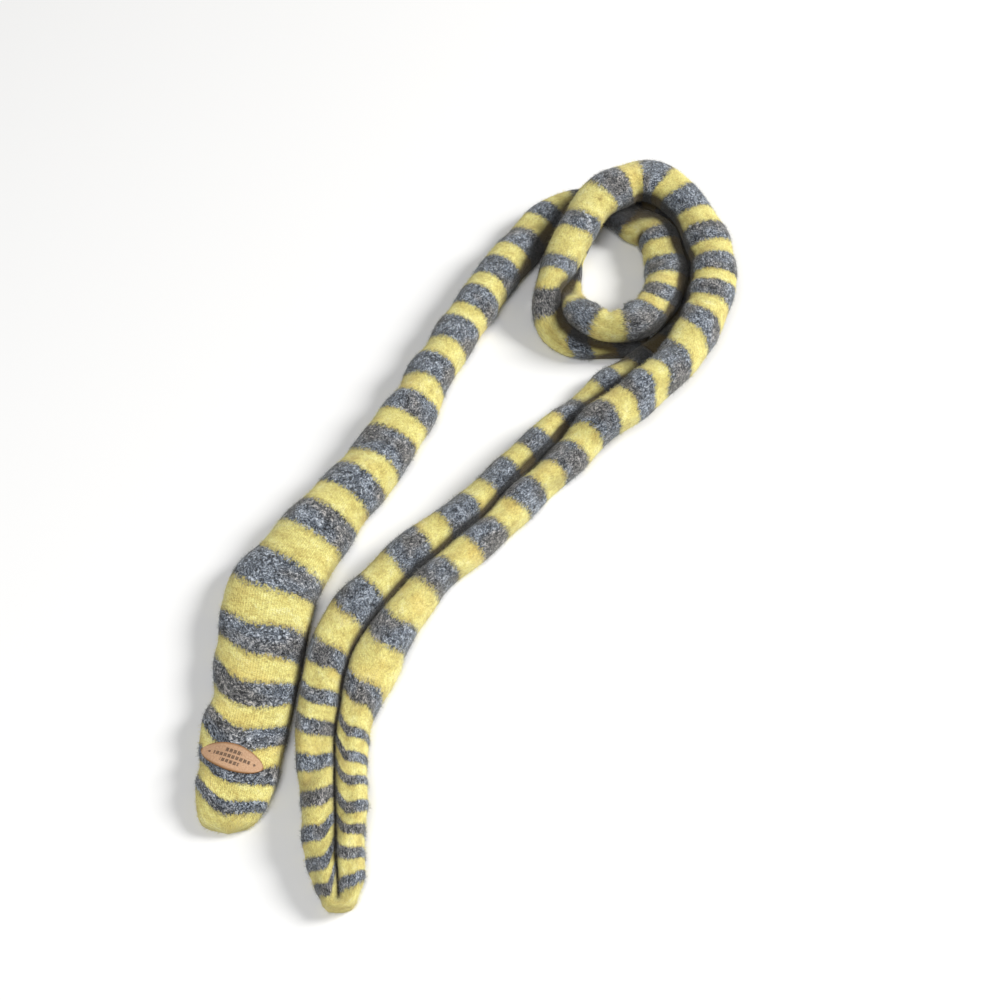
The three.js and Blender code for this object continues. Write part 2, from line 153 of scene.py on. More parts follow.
# Soft folds pressed into the tube. columns: mm along, degrees round (90 is the crown),
# half length along, half width round in degrees, depth, lean in mm per degree
FOLDS = [
    (150, 28, 7, 26, -1.6, 0.10), (164, 150, 9, 30, 1.2, -0.12), (186, 40, 8, 30, -1.4, 0.12),
    (204, 140, 8, 26, -1.0, 0.05), (118, 120, 10, 30, 0.8, 0.06), (84, 60, 9, 26, -0.9, -0.05),
    (232, 80, 9, 30, -0.8, 0.08), (262, 130, 8, 26, 0.7, 0.10), (318, 60, 9, 28, -0.8, -0.06),
    (392, 110, 9, 26, -0.7, 0.05), (470, 70, 9, 28, -0.7, 0.0), (556, 60, 6, 34, -1.3, 0.04),
    (574, 70, 6, 34, -1.2, 0.04), (592, 80, 6, 34, -1.0, 0.04), (694, 20, 4.5, 42, -2.0, 0.02),
    (712, 25, 4.5, 42, -2.2, -0.02), (731, 20, 4, 42, -1.9, 0.02), (752, 25, 4.5, 42, -2.1, 0.02),
    (773, 20, 4.5, 42, -2.2, 0.0), (793, 20, 4, 42, -2.0, 0.02), (816, 28, 4, 46, -2.3, 0.0),
    (832, 30, 3.6, 50, -2.2, 0.0),
    (846, 30, 3.6, 50, -2.0, 0.0), (1330, 110, 7, 30, -0.9, 0.06), (1420, 70, 8, 28, -0.7, 0.05),
    (1510, 115, 7, 30, -0.9, 0.08), (1556, 130, 7, 34, -1.4, 0.08), (1574, 60, 7, 34, -1.3, -0.05),
    (1592, 125, 7, 30, -1.1, 0.06), (1640, 90, 8, 30, -0.7, 0.05), (1700, 70, 8, 30, -0.6, 0.03),
    (1846, 100, 8, 30, -0.6, 0.04), (1932, 120, 7, 34, -1.3, 0.05), (1950, 60, 7, 34, -1.3, -0.08),
    (1968, 120, 7, 34, -1.1, 0.05), (2046, 80, 8, 30, -0.8, 0.05), (2126, 110, 8, 30, -0.8, 0.08),
    (2211, 70, 8, 30, -0.8, -0.05), (2268, 165, 5, 34, -1.1, 0.0), (2306, 160, 5, 36, -1.2, 0.0),
    (2328, 160, 5, 36, -1.2, 0.0), (2352, 160, 5, 36, -1.3, 0.02), (2376, 160, 5, 36, -1.3, 0.0),
    (2400, 160, 5, 36, -1.3, 0.02), (2426, 155, 5, 36, -1.3, 0.0), (2452, 155, 5, 36, -1.3, 0.0),
    (2482, 150, 5, 36, -1.2, 0.0), (2566, 150, 5, 36, -1.2, 0.0), (2606, 150, 5, 36, -1.3, 0.0),
    (2628, 150, 5, 36, -1.2, 0.0), (2650, 150, 5, 36, -1.2, 0.0),
]


def smooth(rows, step):
    """A table's rows joined by a smooth curve through them, as new rows about step mm apart."""
    rows = np.array(rows, float)
    out = []
    last = len(rows) - 1
    for i in range(last):
        p, q = rows[max(i - 1, 0)], rows[i]
        r, s = rows[i + 1], rows[min(i + 2, last)]
        parts = max(1, round(math.dist(q[:2], r[:2]) / step))
        t = (np.arange(parts) / parts)[:, None]
        bend = 2 * p - 5 * q + 4 * r - s + t * (3 * (q - r) + s - p)
        out.append(q + 0.5 * t * (r - p + t * bend))
    return np.vstack(out + [rows[-1:]])


def sideways(xy):
    """Unit vectors to the right of the way a curve runs."""
    run = np.gradient(xy, axis=0)
    run /= np.linalg.norm(run, axis=1)[:, None]
    return np.c_[run[:, 1], -run[:, 0]]


def doubled_tail():
    """Both halves of the tail beside their crease, and the fold between them at the tip."""
    crease = smooth(CREASE, 3.0)
    away = sideways(crease[:, :2])                 # from the right half to the left one
    lying = 0 * crease[:, 5]
    halves = []
    for side, width, lift in ((1, crease[:, 2], lying), (-1, crease[:, 3], crease[:, 5])):
        middle = crease[:, :2] + side * away * (CREASE_GAP + width / 2)[:, None]
        halves.append(np.c_[middle, width, crease[:, 4], lift, side * away])
    end = crease[-1, :2] + np.array([-away[-1, 1], away[-1, 0]]) * TIP["seam"]
    start = math.atan2(away[-1, 1], away[-1, 0])
    turns = start + np.linspace(0, math.pi, 25)
    out = np.c_[np.cos(turns), np.sin(turns)]
    swing = np.cos(turns - start)
    beside = np.where(swing > 0, crease[-1, 2], crease[-1, 3])
    width = TIP["nose"] + (beside - TIP["nose"]) * np.abs(swing)
    middle = end + out * (CREASE_GAP + width / 2)[:, None]
    fold = np.c_[middle, width, crease[-1, 4] + 0 * turns, 0 * turns, out]
    return halves[0], fold, halves[1][::-1]


middle_low, tip_fold, right_low = doubled_tail()


def with_sides(rows):
    """Rows of the route, each with the direction to its right added."""
    return np.c_[rows, sideways(rows[:, :2])]


first_half = with_sides(smooth(
    LEFT_RUN + INNER_TURN + UNDER_TURN + MIDDLE_TOP + [tuple(middle_low[0, :5])], 2.0))
last_half = with_sides(smooth([tuple(right_low[-1, :5])] + RIGHT_TOP + OUTER_TURN, 2.0))
ROUTE = np.vstack([first_half[:-1], middle_low, tip_fold[1:-1], right_low[:-1], last_half])
ALONG = np.r_[0, np.cumsum(np.linalg.norm(np.diff(ROUTE[:, :2], axis=0), axis=1))]
LENGTH = ALONG[-1]
# The tube is made in two pieces, which meet under the coil: at the point of the first 1400 mm
# that is nearest to this plan point.
CUT = {"x": 122.5, "y": 129.0, "before": 1400.0}
MIDDLE_START = float(ALONG[np.argmin(np.where(
    ALONG > CUT["before"], np.inf, np.hypot(ROUTE[:, 0] - CUT["x"], ROUTE[:, 1] - CUT["y"])))])

# Where two stretches touch they press each other flat: 0 is free and 1 pressed.
# columns: mm along, left side, right side
PRESSED = np.array([
    (0, 0, 0), (40, 0, 0.2), (80, 0, 1), (160, 0, 1), (200, 0, 0), (1360, 0.2, 0), (1500, 0.6, 0),
    (1560, 0.9, 0), (1600, 1, 1), (1670, 1, 1), (1700, 1, 0), (1870, 1, 0), (1990, 0.9, 0),
    (2100, 0.6, 0), (2190, 0.2, 0), (2240, 0, 0),
]).T
FREE, FLAT = 0.86, 0.42    # how full the shoulders are when free and pressed: 1 is an oval
UNDER, UNDER_FLAT = 0.62, 1.06     # the same for the underside, and how soon it is flat
SWELL = 0.6                # mm that the dark bands stand out, and the pale ones draw in
random = np.random.default_rng(7)
# Low waves that add up to lumps. columns: radians per mm along, waves round, start, mm high
WAVES = [(random.uniform(0.035, 0.16), random.integers(0, 4), random.uniform(0, 6.28),
          random.uniform(0.12, 0.34)) for _ in range(26)]
FOLD_REACH = 6             # half lengths of a fold beyond which it isn't felt
RESTING = {"gone": 0.75, "pace": 1.2}      # the relief is gone this far below the middle


def by_side(table, s, side):
    """A table's value at s mm along: its left column where side is negative, or its right."""
    at, left, right = table
    return np.where(side < 0, np.interp(s, at, left), np.interp(s, at, right))


def relief(s, t):
    """Lumps and folds of the soft tube, in mm outward, fading out where it rests."""
    lump = np.zeros_like(s)
    for pace, turns, start, size in WAVES:
        lump += size * np.sin(pace * s + turns * t + start)
    for at, angle, long, wide, deep, lean in FOLDS:
        near = np.abs(s - at) < FOLD_REACH * long
        if not near.any():
            continue
        off = np.degrees((t[near] - math.radians(angle) + math.pi) % (2 * math.pi) - math.pi)
        run = (s[near] - at - lean * off) / long
        lump[near] += deep * np.exp(-run ** 2 - (off / wide) ** 2)
    lump += SWELL * np.cos(2 * math.pi * courses(s, t)[1])
    return lump * np.clip(RESTING["pace"] * (np.sin(t) + RESTING["gone"]), 0, 1)


def columns_at(s):
    """The route's columns at s mm along, the last two being the direction to its right."""
    return [np.interp(s, ALONG, ROUTE[:, c]) for c in range(7)]


def surface(s, t, inset=0.0):
    """Points, ways outward and ways along at s mm along the tube and t radians round it."""
    x, y, width, height, lift, nx, ny = columns_at(s)
    lift = np.maximum(lift, 0)
    size = np.hypot(nx, ny)
    nx, ny = nx / size, ny / size
    start, stop = s / END_ROUND, (LENGTH - s) / END_ROUND
    if inset:
        start, stop = start - 1, stop - 1
    close = np.sqrt(np.clip(1 - (1 - np.clip(np.minimum(start, stop), 0, 1)) ** 2, 0, 1))
    c, up = np.cos(t), np.sin(t)
    pressed = by_side(PRESSED, s, c)
    full = FREE + (FLAT - FREE) * pressed
    v = np.where(up >= 0, 0.5 + 0.5 * np.abs(up) ** full,
                 0.5 - 0.5 * np.minimum(1, UNDER_FLAT * np.abs(up) ** UNDER))
    facing = np.stack([c / width, up / height])
    facing /= np.linalg.norm(facing, axis=0)
    bulge = 0 if inset else relief(s, t) * close
    bulge = bulge * (1 - pressed * np.abs(c) ** 3)
    across = c * (width / 2 - inset) * close + bulge * facing[0]
    v = END_RISE + (v - END_RISE) * close
    z = lift + inset + v * (height - 2 * inset) + bulge * facing[1]
    z = np.maximum(z, lift + inset)
    points = np.c_[x + nx * across - CENTRE[0], y + ny * across - CENTRE[1], z] / 1000
    outward = np.c_[nx * facing[0], ny * facing[0], facing[1]]
    tangent = np.c_[-ny, nx, 0 * nx]
    return points, outward, tangent


def stripe_edges():
    """Edges of the dark stripes along the tube, and the count of stripes there.

    A stripe's middle counts as a whole number, and its edges are a quarter either side.
    """
    start, stop = FIRST_STRIPES[-1][0], LAST_STRIPES[0][0]
    places = np.linspace(start + UNSEEN["past"], stop, UNSEEN["stripes"] + 2)[1:-1]
    unseen = [(mm, UNSEEN["width"]) for mm in places]
    middle, width = np.array(FIRST_STRIPES + unseen + LAST_STRIPES, float).T
    number = np.arange(len(middle))
    edges = np.c_[middle - width / 2, middle + width / 2].ravel()
    counts = np.c_[number - 0.25, number + 0.25].ravel()
    first, last = edges[0] - PLAIN_END["length"], edges[-1] + PLAIN_END["length"]
    return (np.r_[first, edges, last],
            np.r_[counts[0] - PLAIN_END["count"], counts, counts[-1] + PLAIN_END["count"]])


EDGES, COUNTS = stripe_edges()


def courses(s, t):
    """Where a point lies in the knitting: mm along the courses, and its count of stripes."""
    side = np.cos(t)
    knit = s - by_side(DRAWN, s, side) * side ** 2
    return knit, np.interp(knit, EDGES, COUNTS)


# How much the scarf shades itself: the table's size, the rays from each place, how far they look
# and where they start, in metres, and the share of a hit that the floor counts for.
SHADE = {"rings": 460, "around": 36, "rays": 40, "reach": 0.045, "off": 0.0006, "floor": 0.10}


def lay_grid(bm, around, rings, place):
    """Adds a grid of faces, and gives its vertices and place(share round, share along)."""
    made = bmesh.ops.create_grid(bm, x_segments=around, y_segments=rings, size=1.0)["verts"]
    flat = np.array([v.co[:2] for v in made])
    share = (flat - flat.min(0)) / (flat.max(0) - flat.min(0))
    return made, place(share[:, 0], share[:, 1])


def shade_table():
    """Share of what is above each place on the tube that the scarf itself hides."""
    bm = bmesh.new()
    made, (s, t) = lay_grid(bm, SHADE["around"], SHADE["rings"], lambda a, b: (
        LENGTH * b, BELOW - 2 * math.pi * a))
    points, outward, tangent = surface(s, t)
    for vert, point in zip(made, points):
        vert.co = point
    tree = BVHTree.FromBMesh(bm)
    bm.free()
    # rays spread evenly by their cosine over the half sphere outside the tube
    number = np.arange(SHADE["rays"])
    spread = np.sqrt((number + 0.5) / SHADE["rays"])
    swing = number * math.pi * (3 - math.sqrt(5))
    rays = np.c_[spread * np.cos(swing), spread * np.sin(swing), np.sqrt(1 - spread ** 2)]
    outward = outward / np.linalg.norm(outward, axis=1)[:, None]
    across = np.cross(outward, tangent)
    hidden = np.zeros((SHADE["rings"] + 1, SHADE["around"] + 1))
    ring = np.rint(s / LENGTH * SHADE["rings"]).astype(int)
    turn = np.rint((BELOW - t) / (2 * math.pi) * SHADE["around"]).astype(int)
    for i, point in enumerate(points):
        start = Vector(point + outward[i] * SHADE["off"])
        total = 0.0
        for ray in rays @ np.array([tangent[i], across[i], outward[i]]):
            distance = tree.ray_cast(start, Vector(ray), SHADE["reach"])[3]
            if distance is not None:
                total += 1 - distance / SHADE["reach"]
            elif -ray[2] * SHADE["reach"] > start.z:
                total += SHADE["floor"] * (1 + start.z / ray[2] / SHADE["reach"])
        hidden[ring[i], turn[i]] = total / SHADE["rays"]
    return hidden


# Painted shade: the wool's colour is darkened where this table is high.
HIDDEN = shade_table()
# How strongly the painted shade shows, by mm along: strongest in and near the coil's turns, weakest
# along the doubled tail.
SHADE_STRENGTH = ((0, 260, 520, 640, 780, 835, 870, 920, 1300, 1560, 1700, 2050, 2200, 2300, 2800),
          (0.4, 0.6, 1.5, 2.1, 1.8, 0.6, 0.6, 2.0, 1.9, 0.9, 0.5, 0.5, 1.0, 1.9, 2.1))


def shade(s, t):
    """How much painted shade there is at s mm along and t radians round, from the table and its
    strength along the tube.
    """
    a = np.clip(s / LENGTH, 0, 1) * SHADE["rings"]
    b = ((BELOW - t) / (2 * math.pi) % 1.0) * SHADE["around"]
    i, j = np.minimum(a.astype(int), SHADE["rings"] - 1), b.astype(int)
    p, q = a - i, b - j
    found = ((1 - p) * ((1 - q) * HIDDEN[i, j] + q * HIDDEN[i, j + 1])
             + p * ((1 - q) * HIDDEN[i + 1, j] + q * HIDDEN[i + 1, j + 1]))
    return found * np.interp(s, *SHADE_STRENGTH)


class Finish:
    """A material being put together from nodes. Each step gives the socket that it ends in."""

    def __init__(self, name):
        self.material = bpy.data.materials.new(name)
        self.material.use_nodes = True
        self.nodes = self.material.node_tree.nodes
        self.links = self.material.node_tree.links
        self.shader = self.nodes["Principled BSDF"]

    def add(self, kind, inputs=(), **settings):
        """A node of this kind, with its inputs by number or name and its settings."""
        made = self.nodes.new("ShaderNode" + kind)
        for key, value in settings.items():
            setattr(made, key, value)
        for key, value in dict(inputs).items():
            self.put(made.inputs[key], value)
        return made

    def put(self, socket, value):
        """Links the value, or sets it where it is plain."""
        if isinstance(value, bpy.types.NodeSocket):
            self.links.new(value, socket)
        else:
            socket.default_value = value

    def math(self, operation, *values):
        return self.add("Math", dict(enumerate(values)), operation=operation).outputs[0]

    def step(self, value, low, high):
        """A smooth rise from 0 at low to 1 at high, or a fall where low is the larger."""
        made = self.add("MapRange", {"Value": value, "From Min": low, "From Max": high},
                        interpolation_type="SMOOTHSTEP")
        return made.outputs[0]

    def blend(self, share, a, b):
        """Colour a with this share of colour b over it."""
        made = self.add("Mix", data_type="RGBA")
        self.put(made.inputs[0], share)
        self.put(made.inputs[6], a)
        self.put(made.inputs[7], b)
        return made.outputs[2]

    def ramp(self, value, stops):
        """Colours by value, from rows of place and colour."""
        made = self.add("ValToRGB", {"Fac": value})
        ramp = made.color_ramp
        while len(ramp.elements) < len(stops):
            ramp.elements.new(0.5)
        for element, (place, colour) in zip(ramp.elements, stops):
            element.position = place
            element.color = colour
        return made.outputs[0]

    def noise(self, where, scale, stretch=(1, 1, 1), detail=3.0, rough=0.6, turn=0.0, curl=0.0):
        """Noise, finer along an axis where stretch is larger."""
        moved = self.add("Mapping", {"Vector": where, "Scale": stretch, "Rotation": (0, 0, turn)})
        made = self.add("TexNoise", {"Vector": moved.outputs[0], "Scale": scale, "Detail": detail,
                                     "Roughness": rough, "Distortion": curl})
        return made.outputs[0]


def srgb(r, g, b):
    """A colour as seen on screen, 0 to 255, for a node."""
    def linear(c):
        c /= 255
        return c / 12.92 if c <= 0.04045 else ((c + 0.055) / 1.055) ** 2.4
    return (linear(r), linear(g), linear(b), 1.0)


WALE = 0.00192       # metres, width of a knitted stitch
COURSE = 0.0015      # its height


def striped_wool(name, strand):
    """Brushed wool in pale yellow and grey melange, striped by the rows of the knitting, with
    painted shade where the scarf hides itself.

    strand is for loose fibres, which have no stitches and are paler.
    """
    f = Finish(name)
    rows = f.add("Attribute", attribute_name="rows").outputs["Fac"]
    knit = f.add("UVMap", uv_map="knit").outputs[0]
    parts = f.add("SeparateXYZ", {0: knit})
    u, v = parts.outputs[0], parts.outputs[1]

    # ragged edge of a stripe: the zigzag of the stitches, tufts, and single fibres
    side = f.math("ABSOLUTE", f.math("SUBTRACT", f.math("FRACT", f.math("DIVIDE", u, WALE)), 0.5))
    tufts = f.noise(knit, 420, (1, 0.5, 1), 3.0, 0.75)
    fibres = f.noise(knit, 1500, (1, 0.28, 1), 2.0, 0.7)
    ragged = f.math("ADD", f.math("MULTIPLY", f.math("SUBTRACT", tufts, 0.5), 0.24),
                    f.math("MULTIPLY", f.math("SUBTRACT", fibres, 0.5), 0.22))
    if not strand:
        ragged = f.math("MULTIPLY_ADD", side, 0.035, ragged)
    # each wale is a chain of V shapes
    slope = f.math("ADD", f.math("DIVIDE", v, COURSE), f.math("MULTIPLY", side, 1.3))
    loop = f.math("MULTIPLY_ADD", f.math("SINE", f.math("MULTIPLY", slope, 2 * math.pi)), 0.5, 0.5)
    leg = f.math("SINE", f.math("MULTIPLY", side, 2 * math.pi))
    count = f.math("ADD", rows, ragged)
    off = f.math("ABSOLUTE", f.math("SUBTRACT", f.math("FRACT", f.math("ADD", count, 0.5)), 0.5))
    dark = f.step(off, 0.285, 0.215)

    # the yellow, with slightly felted clouds and paler brushed fibre
    cloud = f.noise(knit, 90, (1, 1, 1), 3.0, 0.55)
    hair = f.noise(knit, 1500, (1, 0.35, 1), 3.0, 0.65, 0.5)
    yellow = f.ramp(f.math("ADD", f.math("MULTIPLY", cloud, 0.5), f.math("MULTIPLY", hair, 0.5)), [
        (0.31, srgb(158, 132, 66)), (0.43, srgb(221, 208, 124)), (0.55, srgb(241, 235, 150)),
        (0.66, srgb(248, 245, 190))])
    golden = f.step(f.noise(knit, 30, (1, 1, 1), 2.0, 0.5), 0.50, 0.70)
    yellow = f.blend(f.math("MULTIPLY", golden, 0.30), yellow, srgb(226, 188, 98))
    pores = f.step(f.noise(knit, 520, (1, 0.75, 1), 3.0, 0.65, 0.4, 1.2), 0.46, 0.66)
    yellow = f.blend(f.math("MULTIPLY", pores, 0.46), yellow, srgb(172, 146, 74))
    if not strand:
        holes = f.math("MULTIPLY", f.math("SUBTRACT", 1.0, leg), f.math("SUBTRACT", 1.0, loop))
        yellow = f.blend(f.math("MULTIPLY", holes, 0.48), yellow, srgb(156, 130, 64))
    fringe = f.math("MULTIPLY", f.step(off, 0.345, 0.265), 0.42)
    yellow = f.blend(fringe, yellow, srgb(120, 104, 62))
    # the grey, a melange of near-black, mid and pale fibres
    mottle = f.noise(knit, 430, (1, 0.7, 1), 3.0, 0.7, 0.3, 1.6)
    speck = f.noise(knit, 980, (1, 0.5, 1), 2.0, 0.6, -0.6, 2.0)
    patch = f.noise(knit, 110, (1, 1, 1), 2.0, 0.5)
    melange = f.math("ADD", f.math("ADD", f.math("MULTIPLY", mottle, 0.5),
                                   f.math("MULTIPLY", speck, 0.4)), f.math("MULTIPLY", patch, 0.10))
    grey = f.ramp(melange, [
        (0.39, srgb(15, 17, 22)), (0.46, srgb(57, 63, 73)), (0.53, srgb(119, 128, 140)),
        (0.61, srgb(214, 222, 233))])
    warm = f.step(f.noise(knit, 34, (1, 1, 1), 2.0, 0.5), 0.42, 0.62)
    warmed = f.add("MixRGB", {"Fac": f.math("MULTIPLY", warm, 0.75), "Color1": grey,
                              "Color2": srgb(236, 215, 192)}, blend_type="MULTIPLY")
    grey = warmed.outputs[0]
    # painted shade: where the scarf hides itself, deep between the turns and in the creases, the
    # wool is darkened to dark brown and near-black, and loose fibres lose their paleness
    deep = f.step(f.add("Attribute", attribute_name="shade").outputs["Fac"], 0.02, 0.42)
    yellow = f.blend(f.math("MULTIPLY", deep, 0.95), yellow, srgb(48, 31, 10))
    grey = f.blend(f.math("MULTIPLY", deep, 0.90), grey, srgb(17, 17, 21))
    colour = f.blend(dark, yellow, grey)
    if strand:
        colour = f.blend(f.math("MULTIPLY_ADD", deep, -0.14, 0.16), colour, srgb(240, 238, 222))
    f.put(f.shader.inputs["Base Color"], colour)
    f.shader.inputs["Roughness"].default_value = 0.95
    f.shader.inputs["Specular IOR Level"].default_value = 0.18
    f.shader.inputs["Sheen Weight"].default_value = 0.22
    f.shader.inputs["Sheen Roughness"].default_value = 0.55
    f.shader.inputs["Sheen Tint"].default_value = (1.0, 0.98, 0.9, 1.0)
    if strand:
        return f.material

    # the stitches stand out, half hidden under the brushed nap
    stitch = f.math("ADD", f.math("MULTIPLY", leg, 0.75),
                    f.math("MULTIPLY", f.math("MULTIPLY", loop, leg), 0.5))
    nap = f.noise(knit, 1300, (1, 0.5, 1), 4.0, 0.75, 0.2)
    nap_broad = f.noise(knit, 330, (1, 0.8, 1), 3.0, 0.6)
    height = f.math("ADD", f.math("MULTIPLY", stitch, 0.13),
                    f.math("ADD", f.math("MULTIPLY", nap, 0.9), f.math("MULTIPLY", nap_broad, 0.9)))
    bump = f.add("Bump", {"Height": height, "Strength": 0.85, "Distance": 0.0011})
    f.put(f.shader.inputs["Normal"], bump.outputs[0])
    return f.material


wool = striped_wool("striped_wool", False)
wool_fibre = striped_wool("wool_fibre", True)


def as_mesh(bm, name):
    """A finished bmesh as a mesh with smooth faces."""
    for face in bm.faces:
        face.smooth = True
    mesh = bpy.data.meshes.new(name)
    bm.to_mesh(mesh)
    bm.free()
    return mesh


def in_scene(name, mesh, material):
    """The mesh as an object in the scene, in its material."""
    mesh.materials.append(material)
    made = bpy.data.objects.new(name, mesh)
    scene.collection.objects.link(made)
    return made


# How fine the tube's mesh is outside and inside: faces round it, and mm from ring to ring.
AROUND, PITCH = 72, 3.0
INNER_AROUND, INNER_PITCH = 28, 14.0
SAME_POINT = 2e-6          # metres between points that are one
# Metres round the route's middle, and along it, that hold the rims of a cut.
CUT_RIMS = {"radius": 0.05, "depth": 1e-3}


def knitted_tube(name, start, stop, closed_start, closed_stop):
    """A hollow length of the scarf from start to stop mm, as one closed wall."""
    bm = bmesh.new()
    rows_layer = bm.verts.layers.float.new("rows")
    shade_layer = bm.verts.layers.float.new("shade")
    uv = bm.loops.layers.uv.new("knit")

    def outside(a, b):
        s = start + (stop - start) * b
        return s, BELOW - 2 * math.pi * a, a

    def inside(a, b):
        low = start + (END_ROUND if closed_start else 0)
        high = stop - (END_ROUND if closed_stop else 0)
        return low + (high - low) * b, math.radians(-90) + 2 * math.pi * a, a

    for place, around, pitch, inset in ((outside, AROUND, PITCH, 0.0),
                                        (inside, INNER_AROUND, INNER_PITCH, WALL)):
        made, (s, t, a) = lay_grid(bm, around, int((stop - start) / pitch), place)
        points, _, _ = surface(s, t, inset)
        knit, rows = courses(s, t)
        dim = shade(s, t)
        for i, vert in enumerate(made):
            vert.co = points[i]
            vert[rows_layer] = rows[i]
            vert[shade_layer] = dim[i]
        bm.verts.index_update()
        number = {vert.index: i for i, vert in enumerate(made)}
        for face in {f for vert in made for f in vert.link_faces}:
            for loop in face.loops:
                i = number[loop.vert.index]
                loop[uv].uv = (a[i] * ROUND, knit[i] / 1000)
        bmesh.ops.remove_doubles(bm, verts=made, dist=SAME_POINT)
    bmesh.ops.dissolve_degenerate(bm, dist=SAME_POINT / 2, edges=bm.edges)
    # the outer and inner rims of each cut end are joined
    rims = [e for e in bm.edges if e.is_boundary]
    for end, closed in ((start, closed_start), (stop, closed_stop)):
        if closed:
            continue
        found, _, ahead = surface(np.array([float(end)]), np.array([0.0]))
        at, way = found[0], ahead[0]
        here = [e for e in rims if all(
            abs((np.array(v.co) - at) @ way) < CUT_RIMS["depth"]
            and np.linalg.norm(np.array(v.co) - at) < CUT_RIMS["radius"] for v in e.verts)]
        bmesh.ops.bridge_loops(bm, edges=here)
    return in_scene(name, as_mesh(bm, name), wool)


# A loose fibre is a spike of three sides with a knee: two rings of three points and a tip.
SPIKE = [[0, 1, 4, 3], [1, 2, 5, 4], [2, 0, 3, 5], [0, 2, 1], [3, 4, 6], [4, 5, 6], [5, 3, 6]]
SPIKE_POINTS = 7
# Where the fibres grow, in degrees round. The root's depth and the clearance over what it lies on
# are in metres, and the rest are shares: length below and above the knee, thickness at the knee.
FIBRE = {"from": -28, "to": 208, "root": 0.0003, "clear": 0.0001,
         "below": 0.55, "above": 0.6, "knee": 0.75}


def spikes(name, points):
    """One mesh of many fibres, from seven points each."""
    count = len(points)
    at = SPIKE_POINTS * np.arange(count)[:, None]
    corners = np.concatenate([at + np.array(face) for face in SPIKE], axis=1).ravel()
    sizes = np.tile([len(face) for face in SPIKE], count)
    mesh = bpy.data.meshes.new(name)
    mesh.vertices.add(SPIKE_POINTS * count)
    mesh.vertices.foreach_set("co", points.ravel().astype(np.float32))
    mesh.loops.add(len(corners))
    mesh.loops.foreach_set("vertex_index", corners.astype(np.int32))
    mesh.polygons.add(len(sizes))
    mesh.polygons.foreach_set("loop_start", (np.cumsum(sizes) - sizes).astype(np.int32))
    mesh.update(calc_edges=True)
    return mesh


def brushed_fibre(name, start, stop, count, long, seed):
    """Fibres standing out of the nap: thin bent spikes rooted on the tube, as one piece."""
    draw = np.random.default_rng(seed)
    s = draw.uniform(start + 1, stop - 1, count)
    t = draw.uniform(math.radians(FIBRE["from"]), math.radians(FIBRE["to"]), count)
    root, outward, tangent = surface(s, t)
    knit, rows = courses(s, t)
    round_way = np.cross(outward, tangent)
    # which way it lies, its length, how steeply it rises, its bend and its thickness
    heading = draw.uniform(0, 2 * math.pi, count)[:, None]
    lie = tangent * np.cos(heading) + round_way * np.sin(heading)
    size = (draw.uniform(0.55, 1.0, count) ** 1.5 * long / 1000)[:, None]
    rise = draw.uniform(0.15, 0.75, count)[:, None]
    first = outward * rise + lie * (1 - rise)
    first /= np.linalg.norm(first, axis=1)[:, None]
    curl = draw.normal(0, 0.45, (count, 3))
    second = first + curl + lie * 0.5 + outward * 0.05
    second /= np.linalg.norm(second, axis=1)[:, None]
    thick = (draw.uniform(0.065, 0.11, count) / 1000)[:, None]
    base = root - outward * FIBRE["root"]
    knee = base + first * size * FIBRE["below"]
    tip = knee + second * size * FIBRE["above"]
    a = np.cross(first, outward + 0.31)
    a /= np.linalg.norm(a, axis=1)[:, None]
    b = np.cross(first, a)
    rings = []
    for middle, radius in ((base, thick), (knee, thick * FIBRE["knee"])):
        for k in range(3):
            angle = 2 * math.pi * k / 3
            rings.append(middle + (a * math.cos(angle) + b * math.sin(angle)) * radius)
    points = np.stack(rings + [tip], axis=1)
    points[..., 2] = np.maximum(points[..., 2], FIBRE["clear"])
    mesh = spikes(name, points)
    # a fibre has the colour of the stitch that it grows from
    for field, value in (("rows", rows), ("shade", shade(s, t))):
        mesh.attributes.new(field, "FLOAT", "POINT").data.foreach_set(
            "value", np.repeat(value, SPIKE_POINTS).astype(np.float32))
    place = np.c_[(270 - np.degrees(t)) / 360 * ROUND, knit / 1000]
    corners = sum(len(face) for face in SPIKE)
    uv = mesh.uv_layers.new(name="knit")
    uv.data.foreach_set("uv", np.repeat(place, corners, axis=0).ravel().astype(np.float32))
    return in_scene(name, mesh, wool_fibre)


label_half = knitted_tube("knit_label_half", 0.0, MIDDLE_START, True, False)
tail_half = knitted_tube("knit_tail_half", MIDDLE_START + 0.3, LENGTH, False, True)
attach(label_half, "root")
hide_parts("left_run", "inner_turn", "under_turn")
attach(tail_half, "root")
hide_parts("middle_run", "tip_fold", "right_run", "outer_turn")

# columns: piece, and the mm along between which its fibres grow
NAPS = [("nap_wide_end", 0, 400), ("nap_left_run", 400, 900), ("nap_middle_run", 1200, 1760),
        ("nap_right_run", 1760, 2260), ("nap_outer_turn", 2260, 2740)]
FIBRES, FIBRE_LENGTH = 16400, 3.4      # in each piece, and the longest in mm
for seed, (name, start, stop) in enumerate(NAPS):
    count = FIBRES
    nap = brushed_fibre(name, start, stop, count, FIBRE_LENGTH, 20 + seed)
    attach(nap, "root")

# The label on the wide end, in mm and degrees. bow is how full its oval is, and blunt how wide
# its points stay. soft is the width of its rounded edge.
LABEL = {"x": -181.0, "y": -220.0, "length": 45.0, "width": 19.0, "turn": -20.0,
         "thick": 1.5, "off": 0.5, "bow": 0.62, "blunt": 0.06, "soft": 0.4}
WIDE_END = 200             # mm along, past which the label doesn't reach


